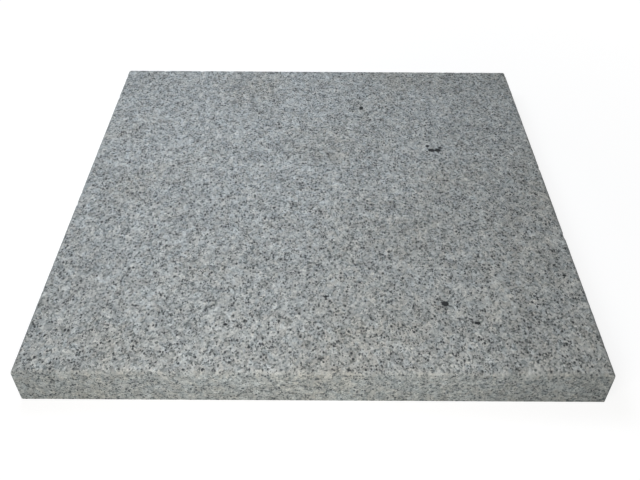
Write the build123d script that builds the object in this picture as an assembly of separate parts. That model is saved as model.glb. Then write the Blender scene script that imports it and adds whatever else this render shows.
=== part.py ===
"""A square granite paving slab: one piece of stone, sawn to size, with a ground arris round its walking face."""

import os

from build123d import *

# Driving dimensions, in millimetres
SLAB_LENGTH = 400.0  # along X, side to side
SLAB_WIDTH = 400.0  # along Y, front to back
SLAB_THICKNESS = 30.0  # along Z, bedding face to walking face
ARRIS = 2.0  # each leg of the 45 degree arris round the walking face
CORNER_EASING = 1.0  # each leg of the flat that takes the edge off the four upright corners

# The name of the slab's only piece, and the folder it is written to
SLAB_NODE = "granite_slab"
PARTS_FOLDER = "parts"


def granite_slab():
    """The slab lies on its bedding face at Z = 0, with the middle of that face at the origin."""
    with BuildPart() as slab:
        # The stone as it leaves the saw: two wide faces and four square-cut sides
        with BuildSketch():
            Rectangle(SLAB_LENGTH, SLAB_WIDTH)
        extrude(amount=SLAB_THICKNESS)

        # The arris is ground along the four top edges and mitres at the corners
        walking_face = slab.faces().sort_by(Axis.Z)[-1]
        chamfer(walking_face.edges(), length=ARRIS)

        # The upright corners are eased last, straight down through the arris
        with BuildSketch() as eased_plan:
            Rectangle(SLAB_LENGTH, SLAB_WIDTH)
            chamfer(eased_plan.vertices(), length=CORNER_EASING)
        extrude(amount=SLAB_THICKNESS, mode=Mode.INTERSECT)
    return slab.part


os.makedirs(PARTS_FOLDER, exist_ok=True)
export_step(granite_slab(), os.path.join(PARTS_FOLDER, f"{SLAB_NODE}.step"))
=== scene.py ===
# %% [markdown]
# # A granite paving slab
# A slab like this is one piece of stone. A saw cuts the block into sheets and the sheets into squares,
# a burner roughens the face that people walk on, and a hand grinder takes the sharp edge off that face.
# The script makes the slab in the same order: the sawn shape first, then the rough face and the worn
# edges, then the stone itself as one pattern of crystals that runs right through it.

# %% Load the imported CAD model
import math

import bpy
from mathutils import Matrix, Vector


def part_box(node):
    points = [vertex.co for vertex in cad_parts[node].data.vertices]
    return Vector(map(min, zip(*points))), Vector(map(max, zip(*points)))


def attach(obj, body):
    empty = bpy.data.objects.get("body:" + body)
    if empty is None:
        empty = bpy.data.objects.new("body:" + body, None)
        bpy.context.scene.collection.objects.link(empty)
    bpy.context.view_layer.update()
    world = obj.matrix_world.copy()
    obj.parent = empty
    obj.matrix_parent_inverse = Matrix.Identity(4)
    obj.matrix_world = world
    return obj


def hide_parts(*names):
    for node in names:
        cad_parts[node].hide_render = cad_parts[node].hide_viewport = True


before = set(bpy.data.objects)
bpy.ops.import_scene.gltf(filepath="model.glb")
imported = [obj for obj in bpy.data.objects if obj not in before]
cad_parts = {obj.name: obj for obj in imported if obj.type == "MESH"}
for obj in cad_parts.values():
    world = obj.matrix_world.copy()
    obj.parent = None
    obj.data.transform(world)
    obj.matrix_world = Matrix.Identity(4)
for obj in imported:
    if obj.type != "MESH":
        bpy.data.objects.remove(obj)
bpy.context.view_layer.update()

MM = 0.001
SLAB_NODE = "granite_slab"
slab_low, slab_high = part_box(SLAB_NODE)
SLAB_SIDE = slab_high.x - slab_low.x
SLAB_THICKNESS = slab_high.z - slab_low.z
HALF_SIDE = SLAB_SIDE / 2
print("slab", round(SLAB_SIDE / MM), "mm square and", round(SLAB_THICKNESS / MM), "mm thick")

# %% [markdown]
# ## The camera
# The camera stands close in front of the slab and looks down on it, so the far edge looks much shorter than
# the near one. The slab's outline in the picture fixes its place. It could be turned by three angles, but a
# place, a point to look at and a small tilt are easier to read.

# %% Camera
CAMERA_PLACE = Vector((3.6, -496.5, 415.7)) * MM
CAMERA_AIM = Vector((4.1, -69.2, 30.0)) * MM
CAMERA_TILT = math.radians(0.37)
LENS = 40.95  # mm
SENSOR_WIDTH = 36  # mm

camera_data = bpy.data.cameras.new("camera")
camera_data.lens = LENS
camera_data.sensor_width = SENSOR_WIDTH
camera = bpy.data.objects.new("camera", camera_data)
bpy.context.scene.collection.objects.link(camera)
look = (CAMERA_AIM - CAMERA_PLACE).to_track_quat("-Z", "Y").to_matrix()
camera.rotation_euler = (look @ Matrix.Rotation(CAMERA_TILT, 3, "Z")).to_euler()
camera.location = CAMERA_PLACE
bpy.context.scene.camera = camera
bpy.context.scene.view_settings.view_transform = "Standard"
print("camera", round((CAMERA_AIM - CAMERA_PLACE).length / MM), "mm from the point it looks at")

# %% [markdown]
# ## The sawn shape
# A cube would give the outline, but its faces could not carry any roughness. So the walking face starts as
# a fine grid, and everything else is pulled out of its rim, as one would by hand: out and down for the
# arris, straight down for the sides, and a last face closes the bed.

# %% Walking face, arris and sides
GRID_CELLS = 260  # each about 1.5 mm wide
ARRIS = 2 * MM

bpy.ops.object.select_all(action="DESELECT")
walking_side = SLAB_SIDE - 2 * ARRIS
bpy.ops.mesh.primitive_grid_add(
    x_subdivisions=GRID_CELLS, y_subdivisions=GRID_CELLS, size=walking_side, location=(0, 0, SLAB_THICKNESS)
)
slab = bpy.context.object
slab.name = "slab_stone"
slab.data.name = "slab_stone"
bpy.ops.object.transform_apply(location=True, rotation=True, scale=True)

bpy.ops.object.mode_set(mode="EDIT")
bpy.ops.mesh.select_mode(type="EDGE")
bpy.ops.mesh.select_all(action="SELECT")
bpy.ops.mesh.region_to_loop()
bpy.ops.mesh.extrude_region_move(TRANSFORM_OT_translate={"value": (0, 0, -ARRIS)})
grow = SLAB_SIDE / walking_side
bpy.ops.transform.resize(value=(grow, grow, 1), center_override=(0, 0, 0))
bpy.ops.mesh.extrude_region_move(TRANSFORM_OT_translate={"value": (0, 0, ARRIS - SLAB_THICKNESS)})
bpy.ops.mesh.edge_face_add()
bpy.ops.mesh.select_all(action="SELECT")
bpy.ops.mesh.normals_make_consistent(inside=False)
bpy.ops.object.mode_set(mode="OBJECT")
print("sawn shape:", len(slab.data.vertices), "vertices,", len(slab.data.polygons), "faces")

# %% [markdown]
# ## Eased corners
# The grinder leaves no knife edges, so the four upright corners are taken off by a millimetre. They could
# be cut by four planes, but a bevel does all four at once. Its edges are picked by their place, because
# their numbers change with every step before it.

# %% Corner bevels
CORNER_EASING = 1.0 * MM
NEAR = 0.01 * MM  # places closer than this count as the same


def from_middle(point):
    """How far a point is from the slab's middle, measured square to the nearest side."""
    return max(abs(point.x), abs(point.y))


def select_edges(*tests):
    """Selects the slab's edges whose two ends both pass one of the tests, and counts them."""
    bpy.ops.mesh.select_all(action="DESELECT")
    bpy.ops.object.mode_set(mode="OBJECT")
    points = slab.data.vertices
    picked = 0
    for edge in slab.data.edges:
        ends = [points[end].co for end in edge.vertices]
        edge.select = any(all(test(end) for end in ends) for test in tests)
        picked += edge.select
    bpy.ops.object.mode_set(mode="EDIT")
    return picked


def at_corner(point):
    """True on the four upright corner edges and the short mitres of the arris above them."""
    square = abs(abs(point.x) - abs(point.y)) < NEAR
    return square and from_middle(point) > walking_side / 2 - NEAR


bpy.ops.object.mode_set(mode="EDIT")
corner_edges = select_edges(at_corner)
bpy.ops.mesh.bevel(offset=CORNER_EASING, offset_type="OFFSET", segments=2, affect="EDGES")
print(corner_edges, "corner edges eased")

# %% [markdown]
# ## Rows on the sides
# The sides are still one tall face for each grid cell. Level cuts through all of them give rows that are
# not much taller than the cells are wide, so that the saw's marks and small chips have something to move.

# %% Cuts
SIDE_ROWS = 13
side_height = SLAB_THICKNESS - ARRIS
for row in range(1, SIDE_ROWS):
    bpy.ops.mesh.select_all(action="SELECT")
    bpy.ops.mesh.bisect(plane_co=(0, 0, side_height * row / SIDE_ROWS), plane_no=(0, 0, 1))
print(SIDE_ROWS, "rows,", round(side_height / SIDE_ROWS / MM, 2), "mm tall")

# %% [markdown]
# ## A softened arris
# A ground arris runs into the faces beside it with a small round, which catches a thin line of light. It is
# one more bevel, along the two lines where the arris meets the walking face and the sides.

# %% Arris bevels
ARRIS_ROUND = 0.5 * MM


def above_arris(point):
    """True where the arris meets the walking face. At the eased corners that line turns in a little."""
    return abs(point.z - SLAB_THICKNESS) < NEAR and from_middle(point) > walking_side / 2 - CORNER_EASING


def below_arris(point):
    """True where the arris meets the sides."""
    return abs(point.z - SLAB_THICKNESS + ARRIS) < NEAR


arris_edges = select_edges(above_arris, below_arris)
bpy.ops.mesh.bevel(offset=ARRIS_ROUND, offset_type="OFFSET", segments=2, affect="EDGES")
bpy.ops.object.mode_set(mode="OBJECT")
print(arris_edges, "arris edges rounded,", len(slab.data.polygons), "faces now")

# %% [markdown]
# ## Which points move, and how far
# Each finish moves only its own part of the stone, so the points go into three groups: the walking face,
# the arris with the edges beside it, and the sawn sides. The weights of the first two fade out, which keeps
# the finishes from tearing apart where they meet.

# %% Groups of points
FACE_FADE = 6 * MM  # from the arris to where the walking face has its full relief
EDGE_REACH = 3.5 * MM  # from the arris to where its wear ends


def held(value):
    """A number held between nought and one."""
    return min(max(value, 0), 1)


def weights_of(point):
    """The weights of one point in the groups, by its place on the slab."""
    rim = HALF_SIDE - from_middle(point)
    depth = SLAB_THICKNESS - point.z
    on_top = depth < ARRIS / 2 and rim > ARRIS / 2
    on_side = rim < NEAR and point.z > NEAR
    return {
        "walking_face": held((rim - ARRIS) / FACE_FADE) if on_top else 0,
        "arris_edge": held(1 - (math.hypot(rim, depth) - ARRIS) / EDGE_REACH),
        "sawn_side": 1 if on_side else 0,
    }


groups = {}
for name in weights_of(Vector((0, 0, 0))):
    groups[name] = slab.vertex_groups.new(name=name)
for vertex in slab.data.vertices:
    for name, weight in weights_of(vertex.co).items():
        if weight > 0:
            groups[name].add([vertex.index], weight, "REPLACE")
print("point groups:", ", ".join(groups))

# %% [markdown]
# ## Relief
# Flaming makes the crystals on the surface burst, so the walking face has shallow pits a few millimetres
# wide on top of a slower swell. The grinder's arris is worn and has small chips, and the saw leaves the
# sides almost flat. Each one is a Displace modifier with a noise texture, and all of them only cut into the
# stone, because a mid level of 1 lets nothing stand proud of the sawn size.

# %% Displace
RELIEFS = (
    # name, width of a pit in mm, depth in mm, group of points, direction,
    # and for chips two levels of the noise: all below the first breaks off, all above the second stays
    ("flamed_swell", 15, 0.25, "walking_face", "Z", None),
    ("flamed_pits", 4.5, 0.4, "walking_face", "Z", None),
    ("arris_wear", 6, 0.3, "arris_edge", "NORMAL", None),
    ("saw_swell", 20, 0.15, "sawn_side", "NORMAL", None),
    ("arris_chips", 9, 0.4, "arris_edge", "NORMAL", (0.2, 0.3)),
)
SMOOTH_ANGLE = math.radians(35)


def cut_relief(name, width, depth, group, direction, chip_levels):
    """Cuts one noise pattern into the slab and applies it."""
    noise = bpy.data.textures.new(name, type="CLOUDS")
    noise.noise_scale = width * MM
    noise.noise_depth = 1
    if chip_levels:
        noise.use_color_ramp = True
        broken, whole = noise.color_ramp.elements
        broken.color = (0, 0, 0, 1)
        broken.position = chip_levels[0]
        whole.color = (1, 1, 1, 1)
        whole.position = chip_levels[1]
    bpy.ops.object.modifier_add(type="DISPLACE")
    relief = slab.modifiers[-1]
    relief.name = name
    relief.texture = noise
    relief.texture_coords = "LOCAL"
    relief.direction = direction
    relief.strength = depth * MM
    relief.mid_level = 1
    relief.vertex_group = group
    bpy.ops.object.modifier_apply(modifier=name)


bpy.ops.object.select_all(action="DESELECT")
slab.select_set(True)
bpy.context.view_layer.objects.active = slab
for relief in RELIEFS:
    cut_relief(*relief)
bpy.ops.object.shade_smooth_by_angle(angle=SMOOTH_ANGLE)
heights = [vertex.co.z for vertex in slab.data.vertices if from_middle(vertex.co) < HALF_SIDE - FACE_FADE]
print("walking face between", round(min(heights) / MM, 2), "and", round(max(heights) / MM, 2), "mm up")

# %% [markdown]
# ## Helpers for materials
# A material is a small network of nodes. One function adds a node, sets its options and links or fills its
# sockets. Another turns a colour as a paint chart writes it into the linear light that Blender works in.
# Sockets go by name or number. The ones used most are those of Map Range: 0 is the value, 1 and 2 are the
# range that is read, and 3 and 4 the range that is given.

# %% Node and colour helpers
# A Mix node's sockets for colours, which share their names with its sockets for numbers
MIX_A = 6
MIX_B = 7
MIX_RESULT = 2


def add(tree, kind, sockets=None, **options):
    """Adds a shader node. A socket is given another node's output to link, or a plain value."""
    node = tree.nodes.new("ShaderNode" + kind)
    for option, value in options.items():
        setattr(node, option, value)
    for socket, value in (sockets or {}).items():
        if isinstance(value, bpy.types.NodeSocket):
            tree.links.new(value, node.inputs[socket])
        else:
            node.inputs[socket].default_value = value
    return node


def linear(hex_colour):
    """An sRGB hex colour as linear red, green, blue and alpha."""
    light = []
    for start in (1, 3, 5):
        channel = int(hex_colour[start:start + 2], 16) / 255
        light.append(channel / 12.92 if channel <= 0.04045 else ((channel + 0.055) / 1.055) ** 2.4)
    return (*light, 1)


def per_metre(size_mm):
    """The Scale of a texture node whose pattern has this real size."""
    return 1000 / size_mm


print("mid grey #808080 is", round(linear("#808080")[0], 3), "in linear light")

# %% [markdown]
# ## The stone: feldspar and quartz
# Grey granite is a tight mosaic of three minerals: white to pale grey feldspar, glassy grey quartz and
# black flakes of biotite mica, each crystal one to three millimetres across here. A flat picture would stop
# at the edges, so the mosaic is made of 3-D cells in the slab's own space. It runs through the walking
# face, the arris and the sides without a seam, just as in the real stone. Each cell is one crystal, and its
# random number picks a grey between dark quartz and pale feldspar.

# %% Feldspar and quartz
CRYSTAL = 1.27  # mm across
RAGGED = 0.93  # mm from one bend in a crystal's outline to the next
RAGGED_REACH = 0.53  # mm that the bends reach
RIFT = 1.3  # how much longer the crystals are from front to back, along the stone's grain
FINE_GRAIN = 0.6  # mm, cracks and cleavage inside a crystal: finer in the stone, drawn this coarse to show
FINE_LIGHT = {1: 0.25, 2: 0.75, 3: 0.75, 4: 1.25}
CROWD_LIGHT = {1: 0.3, 2: 0.7, 3: 1.12, 4: 0.88}  # a little darker where the mica crowds
QUARTZ_TO_FELDSPAR = (
    # share of the crystals that are darker, and colour
    (0.0, "#646968"),
    (0.12, "#878c8b"),
    (0.35, "#a1a5a4"),
    (0.65, "#b4b7b6"),
    (1.0, "#c5c7c4"),
)


def places(tree):
    """The slab's own coordinates: as they are, drawn out along the grain, and with ragged bends as well."""
    own = add(tree, "TexCoord").outputs["Object"]
    drawn_out = add(tree, "VectorMath", {0: own, 1: (1, 1 / RIFT, 1)}, operation="MULTIPLY").outputs[0]
    bends = add(tree, "TexNoise", {"Vector": drawn_out, "Scale": per_metre(RAGGED), "Detail": 1}).outputs[1]
    bent = {0: bends, 1: (RAGGED_REACH * MM,) * 3, 2: drawn_out}
    ragged = add(tree, "VectorMath", bent, operation="MULTIPLY_ADD").outputs[0]
    return own, drawn_out, ragged


def pale_crystals(tree, drawn_out, ragged, crowd):
    """The colour of the feldspar and quartz, and a number for each crystal."""
    cells = add(tree, "TexVoronoi", {"Vector": ragged, "Scale": per_metre(CRYSTAL)})
    numbers = add(tree, "SeparateColor", {0: cells.outputs["Color"]}).outputs
    minerals = add(tree, "ValToRGB", {0: numbers[0]})
    stops = minerals.color_ramp.elements
    while len(stops) < len(QUARTZ_TO_FELDSPAR):
        stops.new(1)
    for stop, (position, colour) in zip(stops, QUARTZ_TO_FELDSPAR):
        stop.position = position
        stop.color = linear(colour)
    fine = add(tree, "TexNoise", {"Vector": drawn_out, "Scale": per_metre(FINE_GRAIN), "Detail": 1})
    fine_light = add(tree, "MapRange", {0: fine.outputs[0], **FINE_LIGHT}).outputs[0]
    crowd_light = add(tree, "MapRange", {0: crowd, **CROWD_LIGHT}).outputs[0]
    light = add(tree, "Math", {0: fine_light, 1: crowd_light}, operation="MULTIPLY").outputs[0]
    lit = add(tree, "VectorMath", {0: minerals.outputs[0], "Scale": light}, operation="SCALE")
    return lit.outputs[0], numbers[2]


print("crystals", CRYSTAL, "mm across, in greys between", len(QUARTZ_TO_FELDSPAR), "shades")

# %% [markdown]
# ## The stone: mica
# Biotite grows in thin black flakes, seen flat or on edge, and they crowd together in some places and are
# rare in others. They could be a darker end of the same mosaic, but then each would fill a whole crystal.
# So they are two mosaics of their own, of which only a share of the cells is black, and only in the middle.

# %% Biotite flakes
BIOTITE = "#2b2d2f"
CLUSTER = 6.5  # mm from one crowd of flakes to the next
FLAKES = (
    # mm across, and the share of cells that are black where flakes are fewest and where they crowd
    (1.0, 0.03, 0.26),
    (1.75, 0.03, 0.2),
)
CROWD_RANGE = {1: 0.35, 2: 0.7}
FLAKE_BODY = {1: 0.3, 2: 0.65, 3: 1.0, 4: 0.0}  # black in the middle of a cell, gone towards its rim


def mica_flakes(tree, ragged, crowd):
    """One inside the flakes and nought outside, with a soft rim."""
    dark = 0.0
    for size, fewest, most in FLAKES:
        cells = add(tree, "TexVoronoi", {"Vector": ragged, "Scale": per_metre(size)})
        number = add(tree, "SeparateColor", {0: cells.outputs["Color"]}).outputs[0]
        share = add(tree, "MapRange", {0: crowd, **CROWD_RANGE, 3: fewest, 4: most}).outputs[0]
        chosen = add(tree, "Math", {0: number, 1: share}, operation="LESS_THAN").outputs[0]
        body = add(tree, "MapRange", {0: cells.outputs["Distance"], **FLAKE_BODY}).outputs[0]
        flake = add(tree, "Math", {0: chosen, 1: body}, operation="MULTIPLY").outputs[0]
        dark = add(tree, "Math", {0: flake, 1: dark}, operation="MAXIMUM").outputs[0]
    return dark


print(len(FLAKES), "sizes of mica flakes, in crowds", CLUSTER, "mm apart")

# %% [markdown]
# ## The stone: knots
# Crystals of one kind tend to sit together in knots a few millimetres wide, each a touch lighter, darker,
# warmer or cooler than the next, and some knots have a large flake in the middle. A third mosaic with wide
# cells does all of that, and then the stone's colour is complete.

# %% Knots
KNOT = 3.7  # mm across
KNOT_LIGHT = {3: 0.83, 4: 1.15}
KNOT_WARM = "#fffcf8"
KNOT_COOL = "#fafdff"
LARGE_FLAKES = 0.11  # share of the knots that have one
LARGE_FLAKE_BODY = {1: 0.2, 2: 0.32, 3: 1.0, 4: 0.0}


def knots(tree, ragged, colour):
    """Shades and tints a colour knot by knot, and gives the large flakes as well."""
    cells = add(tree, "TexVoronoi", {"Vector": ragged, "Scale": per_metre(KNOT)})
    numbers = add(tree, "SeparateColor", {0: cells.outputs["Color"]}).outputs
    light = add(tree, "MapRange", {0: numbers[0], **KNOT_LIGHT}).outputs[0]
    lit = add(tree, "VectorMath", {0: colour, "Scale": light}, operation="SCALE").outputs[0]
    tints = {MIX_A: linear(KNOT_WARM), MIX_B: linear(KNOT_COOL)}
    tint = add(tree, "Mix", {0: numbers[2], **tints}, data_type="RGBA").outputs[MIX_RESULT]
    tinted = add(tree, "VectorMath", {0: lit, 1: tint}, operation="MULTIPLY").outputs[0]
    chosen = add(tree, "Math", {0: numbers[1], 1: LARGE_FLAKES}, operation="LESS_THAN").outputs[0]
    body = add(tree, "MapRange", {0: cells.outputs["Distance"], **LARGE_FLAKE_BODY}).outputs[0]
    large = add(tree, "Math", {0: chosen, 1: body}, operation="MULTIPLY").outputs[0]
    return tinted, large


def stone(tree):
    """The whole stone: its own coordinates, its colour, a number for each crystal, and where it is mica."""
    own, drawn_out, ragged = places(tree)
    clusters = {"Vector": drawn_out, "Scale": per_metre(CLUSTER), "Detail": 2}
    crowd = add(tree, "TexNoise", clusters).outputs[0]
    colour, number = pale_crystals(tree, drawn_out, ragged, crowd)
    colour, large = knots(tree, ragged, colour)
    small = mica_flakes(tree, ragged, crowd)
    mica = add(tree, "Math", {0: small, 1: large}, operation="MAXIMUM").outputs[0]
    mixed = add(tree, "Mix", {0: mica, MIX_A: colour, MIX_B: linear(BIOTITE)}, data_type="RGBA")
    return own, mixed.outputs[MIX_RESULT], number, mica


print("knots", KNOT, "mm across, a large flake in", round(LARGE_FLAKES * 100), "of 100")

# %% [markdown]
# ## Clouds and stains
# No two hands' breadths of a slab are quite the same grey. Slow clouds make it a little lighter or darker,
# and iron in the mica leaves faint warm patches, so both are laid over the crystals in every finish.

# %% Clouds and stains
CLOUD = 30  # mm across
CLOUD_LIGHT = {1: 0.3, 2: 0.7, 3: 0.94, 4: 1.06}
STAIN = 60  # mm across
STAIN_SHARE = {1: 0.5, 2: 0.75, 3: 0.0, 4: 0.35}
IRON_STAIN = "#e3d8c8"


def weathered(tree, own, colour):
    """Lays slow clouds and faint iron stains over a colour."""
    cloud = add(tree, "TexNoise", {"Vector": own, "Scale": per_metre(CLOUD), "Detail": 2})
    light = add(tree, "MapRange", {0: cloud.outputs[0], **CLOUD_LIGHT}).outputs[0]
    clouded = add(tree, "VectorMath", {0: colour, "Scale": light}, operation="SCALE").outputs[0]
    iron = add(tree, "TexNoise", {"Vector": own, "Scale": per_metre(STAIN), "Detail": 4})
    share = add(tree, "MapRange", {0: iron.outputs[0], **STAIN_SHARE}).outputs[0]
    colours = {MIX_A: clouded, MIX_B: linear(IRON_STAIN)}
    stained = add(tree, "Mix", {0: share, **colours}, data_type="RGBA", blend_type="MULTIPLY")
    return stained.outputs[MIX_RESULT]


print("clouds", CLOUD, "mm and stains", STAIN, "mm across")

# %% [markdown]
# ## Dark clots
# Here and there the mica has grown together into a black clot. The slab has a curved one towards the back,
# two round ones near the front and four more. They could be tiny pieces of mesh, but they lie inside the
# stone, so they are drawn as round or flattened balls at their real places, with ragged outlines. The
# curved one is the first four balls, which run into each other.

# %% Clots
CLOTS = (
    # across and back from the middle, width and depth, all in mm, and turn in degrees
    (106.0, 54.9, 6.7, 5.3, -20),
    (111.5, 55.0, 6.0, 5.6, 10),
    (114.4, 58.8, 3.4, 4.0, 40),
    (103.0, 61.5, 3.9, 3.8, 0),
    (94.9, -136.8, 5.2, 5.2, 0),
    (115.3, -155.2, 4.4, 3.2, 0),
    (44.4, 126.6, 4.2, 6.4, 0),
    (8.3, -130.4, 3.0, 2.8, 30),
    (-61.8, -157.6, 3.0, 2.2, 0),
    (188.1, -107.2, 3.0, 2.8, 0),
)
CLOT_RAGGED = 1.5  # mm from one bend in a clot's outline to the next
CLOT_REACH = 1.1  # mm from the innermost to the outermost bend
CLOT_RIM = {1: 0.85, 2: 1.1, 3: 1.0, 4: 0.0}
CLOT_BLACK = "#121314"


def with_clots(tree, own, colour):
    """Draws the clots into a colour."""
    bends = add(tree, "TexNoise", {"Vector": own, "Scale": per_metre(CLOT_RAGGED), "Detail": 1}).outputs[1]
    centred = add(tree, "VectorMath", {0: bends, 1: (0.5, 0.5, 0.5)}, operation="SUBTRACT").outputs[0]
    bent = {0: centred, 1: (CLOT_REACH * MM,) * 3, 2: own}
    ragged = add(tree, "VectorMath", bent, operation="MULTIPLY_ADD").outputs[0]
    clots = 0.0
    for across, back, width, depth, turn in CLOTS:
        middle = Vector((across * MM, back * MM, SLAB_THICKNESS))
        radii = Vector((width, depth, width)) * MM / 2
        ball = {0: ragged, 1: middle, 2: (0, 0, math.radians(turn)), 3: radii}
        from_ball = add(tree, "Mapping", ball, vector_type="TEXTURE").outputs[0]
        away = add(tree, "VectorMath", {0: from_ball}, operation="LENGTH").outputs[1]
        clot = add(tree, "MapRange", {0: away, **CLOT_RIM}).outputs[0]
        clots = add(tree, "Math", {0: clot, 1: clots}, operation="MAXIMUM").outputs[0]
    mixed = add(tree, "Mix", {0: clots, MIX_A: colour, MIX_B: linear(CLOT_BLACK)}, data_type="RGBA")
    return mixed.outputs[MIX_RESULT]


print(len(CLOTS), "balls of black mica")

# %% [markdown]
# ## Saw streaks
# A diamond saw leaves long level streaks on the sides, where the blade passed. They are a noise that is
# pulled out along the slab, and they both tint the stone and stand in its surface a little.

# %% Saw streaks
SAW_STREAK = 2.0  # mm from one streak to the next
SAW_LENGTH = 110  # mm along a streak
STREAK_LIGHT = {1: 0.3, 2: 0.7, 3: 0.95, 4: 1.05}
STREAK_HEIGHT = 0.6


def with_streaks(tree, own, colour, height):
    """Draws the saw's streaks into a colour and a height."""
    pull = Vector((1 / SAW_LENGTH, 1 / SAW_LENGTH, 1 / SAW_STREAK)) / MM
    along = add(tree, "Mapping", {0: own, 3: pull}, vector_type="POINT").outputs[0]
    blade = add(tree, "TexNoise", {"Vector": along, "Scale": 1, "Detail": 3}).outputs[0]
    light = add(tree, "MapRange", {0: blade, **STREAK_LIGHT}).outputs[0]
    colour = add(tree, "VectorMath", {0: colour, "Scale": light}, operation="SCALE").outputs[0]
    height = add(tree, "Math", {0: blade, 1: STREAK_HEIGHT, 2: height}, operation="MULTIPLY_ADD").outputs[0]
    return colour, height


print("saw streaks", SAW_STREAK, "mm apart and", SAW_LENGTH, "mm long")

# %% [markdown]
# ## Finishes
# The same stone looks different after each tool. Flamed granite is matt and rough, with glints on the mica.
# The ground arris is paler, because fine scratches and stone dust fill it. Sawn granite is flatter, and the
# dried slurry of the saw dulls it a little. Each finish is a material of its own around the same crystals.

# %% Finishes
GRANITE_IOR = 1.54  # that of quartz and feldspar
PITTED_GLOSS = 0.15  # pits hide most of the gloss that this IOR gives a polished face
MICA_GLINT = 0.2  # how much smoother the mica is
CRYSTAL_HEIGHT = 0.5  # how far crystals stand above each other, next to the grit's height of 1
BUMP_STRENGTH = 0.6
STONE_DUST = "#bac2c6"
SAW_SLURRY = "#a6b9c9"


def granite(name, powder, dust, grit, pit, rough, clots=False, streaks=False):
    """One finish. powder is a colour and dust its share, grit is a width in mm and pit a depth in mm."""
    material = bpy.data.materials.new(name)
    material.use_nodes = True
    tree = material.node_tree
    tree.nodes.clear()
    own, colour, number, mica = stone(tree)
    if clots:
        colour = with_clots(tree, own, colour)
    colour = weathered(tree, own, colour)
    dusty = add(tree, "Mix", {0: dust, MIX_A: colour, MIX_B: linear(powder)}, data_type="RGBA")
    colour = dusty.outputs[MIX_RESULT]
    grain = add(tree, "TexNoise", {"Vector": own, "Scale": per_metre(grit), "Detail": 2}).outputs[0]
    crystals = {0: number, 1: CRYSTAL_HEIGHT, 2: grain}
    height = add(tree, "Math", crystals, operation="MULTIPLY_ADD").outputs[0]
    if streaks:
        colour, height = with_streaks(tree, own, colour, height)
    bump = add(tree, "Bump", {"Strength": BUMP_STRENGTH, "Distance": pit * MM, "Height": height})
    gloss = add(tree, "MapRange", {0: mica, 3: rough, 4: rough - MICA_GLINT})
    surface = {"Base Color": colour, "Roughness": gloss.outputs[0], "Normal": bump.outputs[0]}
    constants = {"IOR": GRANITE_IOR, "Specular IOR Level": PITTED_GLOSS}
    shader = add(tree, "BsdfPrincipled", {**surface, **constants})
    add(tree, "OutputMaterial", {0: shader.outputs[0]})
    return material


# The scratches of the grinder and the saw are about 0.1 mm wide, so their grit is drawn coarser to show
finishes = (
    granite("granite_flamed", STONE_DUST, dust=0.04, grit=0.8, pit=0.33, rough=0.72, clots=True),
    granite("granite_ground", STONE_DUST, dust=0.18, grit=0.53, pit=0.1, rough=0.66),
    granite("granite_sawn", SAW_SLURRY, dust=0.08, grit=0.6, pit=0.13, rough=0.68, streaks=True),
)
for finish in finishes:
    slab.data.materials.append(finish)
    print(finish.name, "has", len(finish.node_tree.nodes), "nodes")

# %% [markdown]
# ## Which face gets which finish
# The faces still know where they are and which way they point. Those inside the arris that look up are
# flamed, those outside that slope are the ground arris, and the rest are sawn.

# %% Finish of each face
FLAMED = 0
GROUND = 1
SAWN = 2
SLOPE = 0.3  # faces that look up or down by more than this are no upright sides


def finish_of(face):
    """The number of the finish that a face gets."""
    inside = from_middle(face.center) < HALF_SIDE - ARRIS
    if inside and face.normal.z > 0:
        return FLAMED
    if not inside and face.normal.z > SLOPE:
        return GROUND
    return SAWN


counts = [0, 0, 0]
for face in slab.data.polygons:
    face.material_index = finish_of(face)
    counts[face.material_index] += 1
print("faces flamed, ground and sawn:", counts)

# %% [markdown]
# ## A flat map of the surface
# Other programs can't follow Blender's nodes, so for them the stone has to be baked into a picture, and a
# map says where in the picture each face lies. An automatic unwrap would give the hidden bed as much room
# as the walking face. So the map is laid out from a given table, as seen square to each face: the walking
# face with its arris takes more than half of the picture, the bed is squeezed in beside it, and the four
# sides lie above them.

# %% Map
MAP_PLACES = {
    # part of the surface: left, bottom, width and height in the picture, which is 1 wide and 1 high
    "top": (0.01, 0.01, 0.64, 0.86),
    "bed": (0.66, 0.01, 0.33, 0.86),
    "front": (0.01, 0.88, 0.485, 0.05),
    "back": (0.505, 0.88, 0.485, 0.05),
    "left": (0.01, 0.94, 0.485, 0.05),
    "right": (0.505, 0.94, 0.485, 0.05),
}


def part_of_surface(normal):
    """Which part of the surface a face belongs to, by the way it looks."""
    if abs(normal.z) > SLOPE:
        return "top" if normal.z > 0 else "bed"
    if abs(normal.x) > abs(normal.y):
        return "left" if normal.x < 0 else "right"
    return "front" if normal.y < 0 else "back"


def place_on_map(point, part):
    """Where a point of this part of the surface lies in the picture."""
    left, bottom, width, height = MAP_PLACES[part]
    across = point.x / SLAB_SIDE + 0.5
    back = point.y / SLAB_SIDE + 0.5
    up = point.z / SLAB_THICKNESS
    along = back if part in ("left", "right") else across
    rise = back if part in ("top", "bed") else up
    return left + width * along, bottom + height * rise


slab_map = slab.data.uv_layers.new(name="OFBake")
for face in slab.data.polygons:
    part = part_of_surface(face.normal)
    for corner in face.loop_indices:
        point = slab.data.vertices[slab.data.loops[corner].vertex_index].co
        slab_map.data[corner].uv = place_on_map(point, part)
print("map laid out for", len(slab.data.polygons), "faces in", len(MAP_PLACES), "parts")

# %% [markdown]
# ## The floor
# The slab is shown on white paper, as in a catalogue. White paper that lies in soft light would turn out
# grey in the picture, and more lamps would bleach the stone. So the paper is pale for the light that
# bounces off it, and what the camera sees of it is a plain glow with a thin matt veil that keeps the
# slab's shadow.

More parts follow.
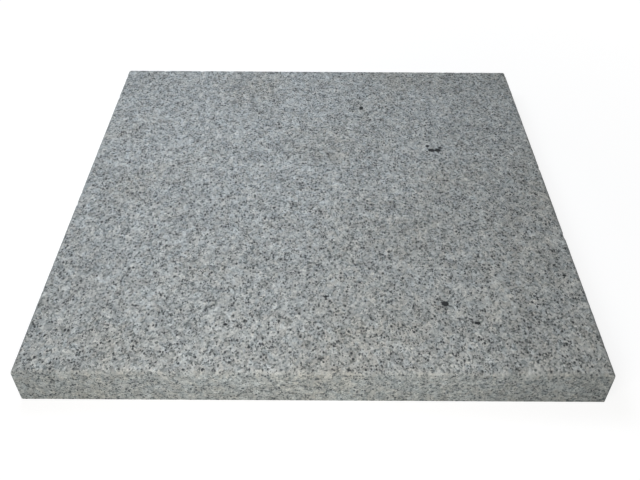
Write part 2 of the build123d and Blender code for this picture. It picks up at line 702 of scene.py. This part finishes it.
# %% Floor
WHITE = (1, 1, 1, 1)
PAPER_PALE = "#ccd3d6"
VEIL_GREY = (0.24, 0.24, 0.24, 1)
GLOW = {1: 0.27, 2: 0.8, 3: 0.86, 4: 1.0}  # metres from the slab's middle, then the strength there
FLOOR_SIZE = 6  # metres
FLOOR_GAP = 0.2 * MM

bpy.ops.object.select_all(action="DESELECT")
bpy.ops.mesh.primitive_plane_add(size=FLOOR_SIZE, location=(0, 0, -FLOOR_GAP))
floor = bpy.context.object
floor.name = "floor"


def seen_directly(tree):
    """One for what the camera sees, also in gloss and through glass, and nought for light that bounces."""
    path = add(tree, "LightPath").outputs
    gloss = add(tree, "Math", {0: path["Is Camera Ray"], 1: path["Is Glossy Ray"]}, operation="MAXIMUM")
    glass = add(tree, "Math", {0: gloss.outputs[0], 1: path["Is Transmission Ray"]}, operation="MAXIMUM")
    return glass.outputs[0]


paper = bpy.data.materials.new("white_paper")
paper.use_nodes = True
tree = paper.node_tree
tree.nodes.clear()
pale = add(tree, "BsdfDiffuse", {"Color": linear(PAPER_PALE)})
own = add(tree, "TexCoord").outputs["Object"]
away = add(tree, "VectorMath", {0: own}, operation="LENGTH").outputs[1]
strength = add(tree, "MapRange", {0: away, **GLOW}).outputs[0]
veil = add(tree, "BsdfDiffuse", {"Color": VEIL_GREY})
glow = add(tree, "Emission", {"Color": WHITE, "Strength": strength})
white = add(tree, "AddShader", {0: veil.outputs[0], 1: glow.outputs[0]})
shown = add(tree, "MixShader", {0: seen_directly(tree), 1: pale.outputs[0], 2: white.outputs[0]})
add(tree, "OutputMaterial", {0: shown.outputs[0]})
floor.data.materials.append(paper)
print("floor", FLOOR_SIZE, "m square")

# %% [markdown]
# ## Light
# Light comes from a faint warm sky and two large soft lamps: a warm one in front of the slab and a cool one
# above its back, both left of the middle, so the stone darkens to the right. A sun lamp would be simpler,
# but it lights the whole face alike. The camera sees the sky as plain white, like the floor.

# %% World and lamps
SKY_STRENGTH = 0.17
SKY_WARM = "#fff9ee"
LAMPS = (
    # name, place in metres, power in watts, colour, size in metres
    ("warm_front_lamp", (-0.04, -0.415, 0.22), 0.72, "#fffaf4", 0.2),
    ("cool_back_lamp", (-0.147, 0.127, 0.493), 1.93, "#eaf2ff", 0.33),
)
LAMP_AIM = Vector((0, 0, SLAB_THICKNESS))

world = bpy.data.worlds.new("studio")
bpy.context.scene.world = world
world.use_nodes = True
tree = world.node_tree
tree.nodes.clear()
sky = add(tree, "Background", {"Color": linear(SKY_WARM), "Strength": SKY_STRENGTH})
backdrop = add(tree, "Background", {"Color": WHITE, "Strength": 1})
shown = add(tree, "MixShader", {0: seen_directly(tree), 1: sky.outputs[0], 2: backdrop.outputs[0]})
add(tree, "OutputWorld", {0: shown.outputs[0]})

for name, spot, power, colour, size in LAMPS:
    lamp_data = bpy.data.lights.new(name, type="AREA")
    lamp_data.energy = power
    lamp_data.color = linear(colour)[:3]
    lamp_data.size = size
    lamp = bpy.data.objects.new(name, lamp_data)
    lamp.location = spot
    lamp.rotation_euler = (LAMP_AIM - lamp.location).to_track_quat("-Z", "Y").to_euler()
    lamp.visible_camera = False
    bpy.context.scene.collection.objects.link(lamp)
    print(name, power, "W")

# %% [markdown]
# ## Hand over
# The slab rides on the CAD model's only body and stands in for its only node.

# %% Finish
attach(slab, "root")
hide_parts(SLAB_NODE)
